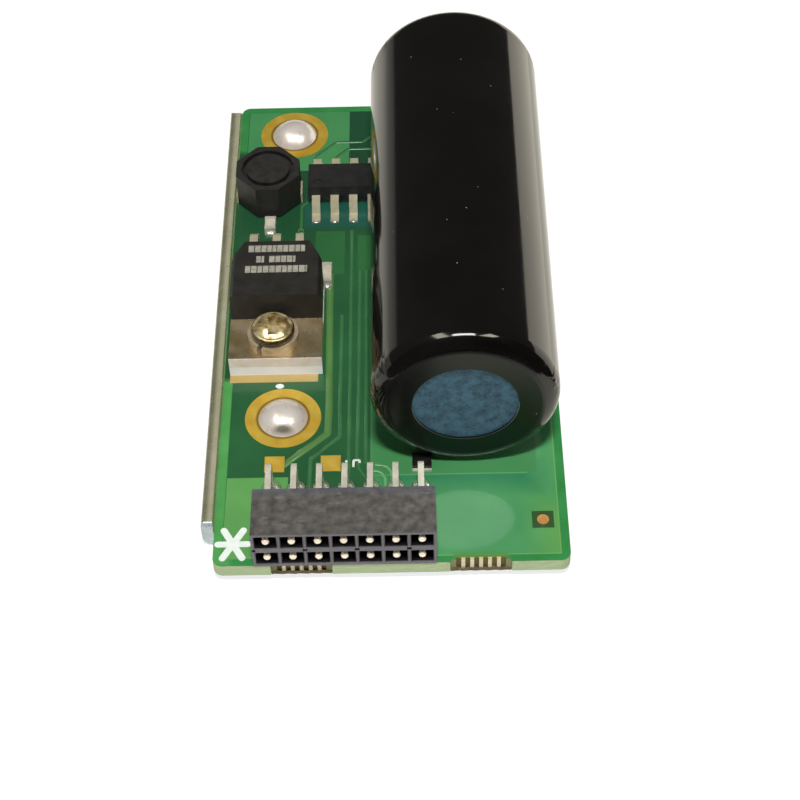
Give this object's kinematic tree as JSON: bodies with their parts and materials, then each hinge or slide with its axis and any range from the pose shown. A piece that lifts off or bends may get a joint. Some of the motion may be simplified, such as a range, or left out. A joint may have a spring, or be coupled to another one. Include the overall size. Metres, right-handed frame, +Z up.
{
  "type": "raid controller battery board",
  "caption": "Back-up battery board for a storage controller: a black sleeved cell on a green board with an angled socket, a screwed-down transistor and a folded side rail.",
  "frame": {"origin": "under the middle of the whole part, on the surface that it rests on", "axes": "+X to the right with the socket towards the viewer, +Y from the socket to the rear, +Z up from the board"},
  "size_m": [0.0368, 0.068, 0.0218],
  "materials": {
    "board_laminate": "green solder mask over glass laminate",
    "rail_steel": "plated sheet steel",
    "rivet_metal": "bright domed rivet",
    "gold_plating": "gold plated copper land",
    "fiducial_copper": "bare copper dot",
    "socket_plastic": "glass-filled black moulding",
    "contact_metal": "gold plated tip, tinned tail",
    "insulator_ceramic": "white ceramic plate",
    "tab_metal": "tinned copper plate",
    "transistor_epoxy": "moulded epoxy",
    "tinned_lead": "tinned lead",
    "screw_zinc": "yellow zinc plating",
    "washer_steel": "plated spring steel",
    "cell_sleeve_black": "glossy shrunk film",
    "cell_steel": "nickel plated can",
    "fibre_paper": "blue-green fibre paper",
    "strap_nickel": "nickel strip",
    "bed_adhesive": "cured adhesive",
    "ferrite": "dark ferrite",
    "chip_epoxy": "moulded epoxy",
    "resistor_ceramic": "black glazed block with tinned ends",
    "capacitor_ceramic": "pale ceramic block with tinned ends"
  },
  "bodies": {
    "root": {"circuit_board": "board_laminate", "side_rail": "rail_steel", "front_rivet": "rivet_metal", "rear_rivet": "rivet_metal", "front_ring_pad": "gold_plating", "rear_ring_pad": "gold_plating", "test_pad_left": "gold_plating", "test_pad_right": "gold_plating", "fiducial_dot": "fiducial_copper", "socket_housing": "socket_plastic", "contact_upper_1": "contact_metal", "contact_lower_1": "contact_metal", "contact_upper_2": "contact_metal", "contact_lower_2": "contact_metal", "contact_upper_3": "contact_metal", "contact_lower_3": "contact_metal", "contact_upper_4": "contact_metal", "contact_lower_4": "contact_metal", "contact_upper_5": "contact_metal", "contact_lower_5": "contact_metal", "contact_upper_6": "contact_metal", "contact_lower_6": "contact_metal", "contact_upper_7": "contact_metal", "contact_lower_7": "contact_metal", "transistor_land": "gold_plating", "insulator_plate": "insulator_ceramic", "transistor_tab": "tab_metal", "transistor_body": "transistor_epoxy", "transistor_lead_left": "tinned_lead", "transistor_lead_centre": "tinned_lead", "transistor_lead_right": "tinned_lead", "tab_screw": "screw_zinc", "lock_washer": "washer_steel", "cell_can": "cell_steel", "cell_sleeve": "cell_sleeve_black", "front_paper_disc": "fibre_paper", "rear_paper_disc": "fibre_paper", "cell_strap_left": "strap_nickel", "cell_strap_right": "strap_nickel", "cell_bed": "bed_adhesive", "inductor_core": "ferrite", "inductor_clip_left": "tinned_lead", "inductor_clip_right": "tinned_lead", "charger_chip": "chip_epoxy", "charger_leg_front_1": "tinned_lead", "charger_leg_rear_1": "tinned_lead", "charger_leg_front_2": "tinned_lead", "charger_leg_rear_2": "tinned_lead", "charger_leg_front_3": "tinned_lead", "charger_leg_rear_3": "tinned_lead", "charger_leg_front_4": "tinned_lead", "charger_leg_rear_4": "tinned_lead", "sense_resistor": "resistor_ceramic", "side_capacitor": "capacitor_ceramic", "rear_capacitor": "capacitor_ceramic"}
  },
  "joints": []
}
